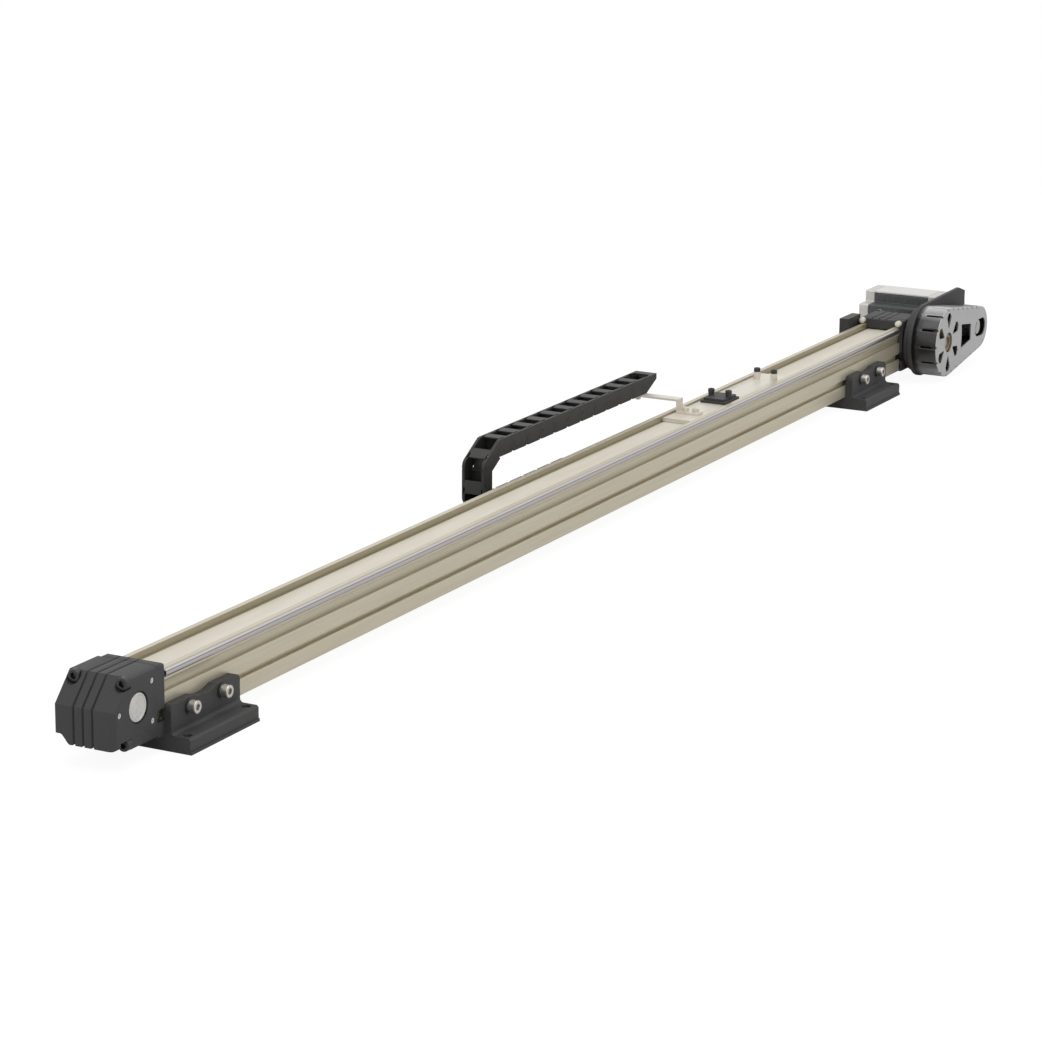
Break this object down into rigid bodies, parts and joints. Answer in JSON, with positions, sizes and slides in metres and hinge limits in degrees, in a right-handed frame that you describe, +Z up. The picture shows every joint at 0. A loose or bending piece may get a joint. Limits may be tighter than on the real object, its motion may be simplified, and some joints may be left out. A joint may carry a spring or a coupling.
{
  "type": "robot linear track",
  "caption": "Belt-driven linear axis on an extruded profile, with end housings, side reducer and motor, feet, cable chain and a sliding carriage.",
  "frame": {"origin": "on the floor, at the centre of the outer anchor holes of the two feet, under the middle of the profile's width", "axes": "+X along the track towards the drive end with the motor, +Y towards the side with the cable chain and motor body, +Z up"},
  "size_m": [2.1658, 0.1807, 0.1154],
  "materials": {
    "anodised_aluminium": "satin champagne anodising",
    "ground_steel": "ground and polished",
    "belt_polyurethane": "smooth cream polyurethane",
    "black_casting": "matte black coating",
    "zinc_steel": "bright zinc plating",
    "black_steel": "black oxide",
    "machined_aluminium": "fine turned",
    "bumper_rubber": "matte cream",
    "cover_paint": "fine textured grey paint",
    "drive_belt_rubber": "matte black",
    "motor_cast_aluminium": "fine blasted",
    "motor_black_paint": "satin black paint",
    "slider_plastic": "smooth cream",
    "clamp_plastic": "matte black",
    "chain_plastic": "fine grained charcoal",
    "sheet_metal": "zinc-plated sheet",
    "box_plastic": "matte black"
  },
  "bodies": {
    "track": {"box_bracket": "motor_black_paint", "box_fastening": "zinc_steel", "chain_fixed_end": "chain_plastic", "chain_lower_run": "chain_plastic", "chain_trough": "sheet_metal", "drive_bearing_cap": "machined_aluminium", "drive_bearings": "ground_steel", "drive_bumpers": "bumper_rubber", "drive_corner_screws": "black_steel", "drive_flange": "black_casting", "drive_housing": "black_casting", "drive_side_screws": "zinc_steel", "foot_drive_end": "black_casting", "foot_idler_end": "black_casting", "foot_screws": "zinc_steel", "foot_slot_nuts": "zinc_steel", "foot_washers": "black_steel", "guide_rods": "ground_steel", "idler_bearing_caps": "machined_aluminium", "idler_bearings": "ground_steel", "idler_bumpers": "bumper_rubber", "idler_corner_screws": "black_steel", "idler_flange": "black_casting", "idler_housing": "black_casting", "idler_side_screws": "zinc_steel", "motor_front_flange": "motor_cast_aluminium", "motor_rear_cap": "motor_cast_aluminium", "motor_screws": "black_steel", "motor_stator": "motor_black_paint", "motor_top_cover": "motor_cast_aluminium", "reducer_belt": "drive_belt_rubber", "reducer_cover": "cover_paint", "reducer_plate": "black_casting", "reducer_plate_screws": "black_steel", "sensor_box": "box_plastic", "toothed_belt": "belt_polyurethane", "track_profile": "anodised_aluminium", "trough_brackets": "sheet_metal", "trough_screws": "zinc_steel", "trough_slot_nuts": "zinc_steel"},
    "carriage": {"slider": "slider_plastic", "belt_clamp": "clamp_plastic", "clamp_spacers": "clamp_plastic", "plate_standoffs": "slider_plastic", "plate_screws": "black_steel", "chain_arm": "machined_aluminium", "chain_arm_screws": "zinc_steel", "chain_moving_end": "chain_plastic", "chain_upper_run": "chain_plastic"},
    "idler_shaft": {"idler_axle": "ground_steel", "idler_pulley": "machined_aluminium"},
    "drive_train": {"drive_shaft": "ground_steel", "drive_pulley": "machined_aluminium", "large_reducer_pulley": "machined_aluminium"},
    "motor_rotor": {"motor_shaft": "ground_steel", "motor_pulley": "machined_aluminium"},
    "chain_loop": {"chain_bend": "chain_plastic"}
  },
  "joints": [
    {"name": "carriage_slide", "type": "slide", "parent": "track", "child": "carriage", "axis": [1, 0, 0], "range_m": [-0.7, 0.35], "deforming": ["chain_upper_run"]},
    {"name": "chain_bend_slide", "type": "slide", "parent": "track", "child": "chain_loop", "axis": [1, 0, 0], "range_m": [-0.35, 0.175], "deforming": ["chain_lower_run"]},
    {"name": "idler_spin", "type": "hinge", "parent": "track", "child": "idler_shaft", "pos_m": [-0.934, 0, 0.0551], "axis": [0, 1, 0], "continuous": true},
    {"name": "drive_spin", "type": "hinge", "parent": "track", "child": "drive_train", "pos_m": [1.009, 0, 0.0551], "axis": [0, 1, 0], "continuous": true},
    {"name": "motor_spin", "type": "hinge", "parent": "track", "child": "motor_rotor", "pos_m": [1.1348, 0, 0.0551], "axis": [0, 1, 0], "continuous": true}
  ],
  "couplings": [
    {"joint": "chain_bend_slide", "follows": "carriage_slide", "ratio": 0.5},
    {"joint": "idler_spin", "follows": "carriage_slide", "rad_per_m": 65.45},
    {"joint": "drive_spin", "follows": "carriage_slide", "rad_per_m": 65.45},
    {"joint": "motor_spin", "follows": "carriage_slide", "rad_per_m": 157.08}
  ]
}
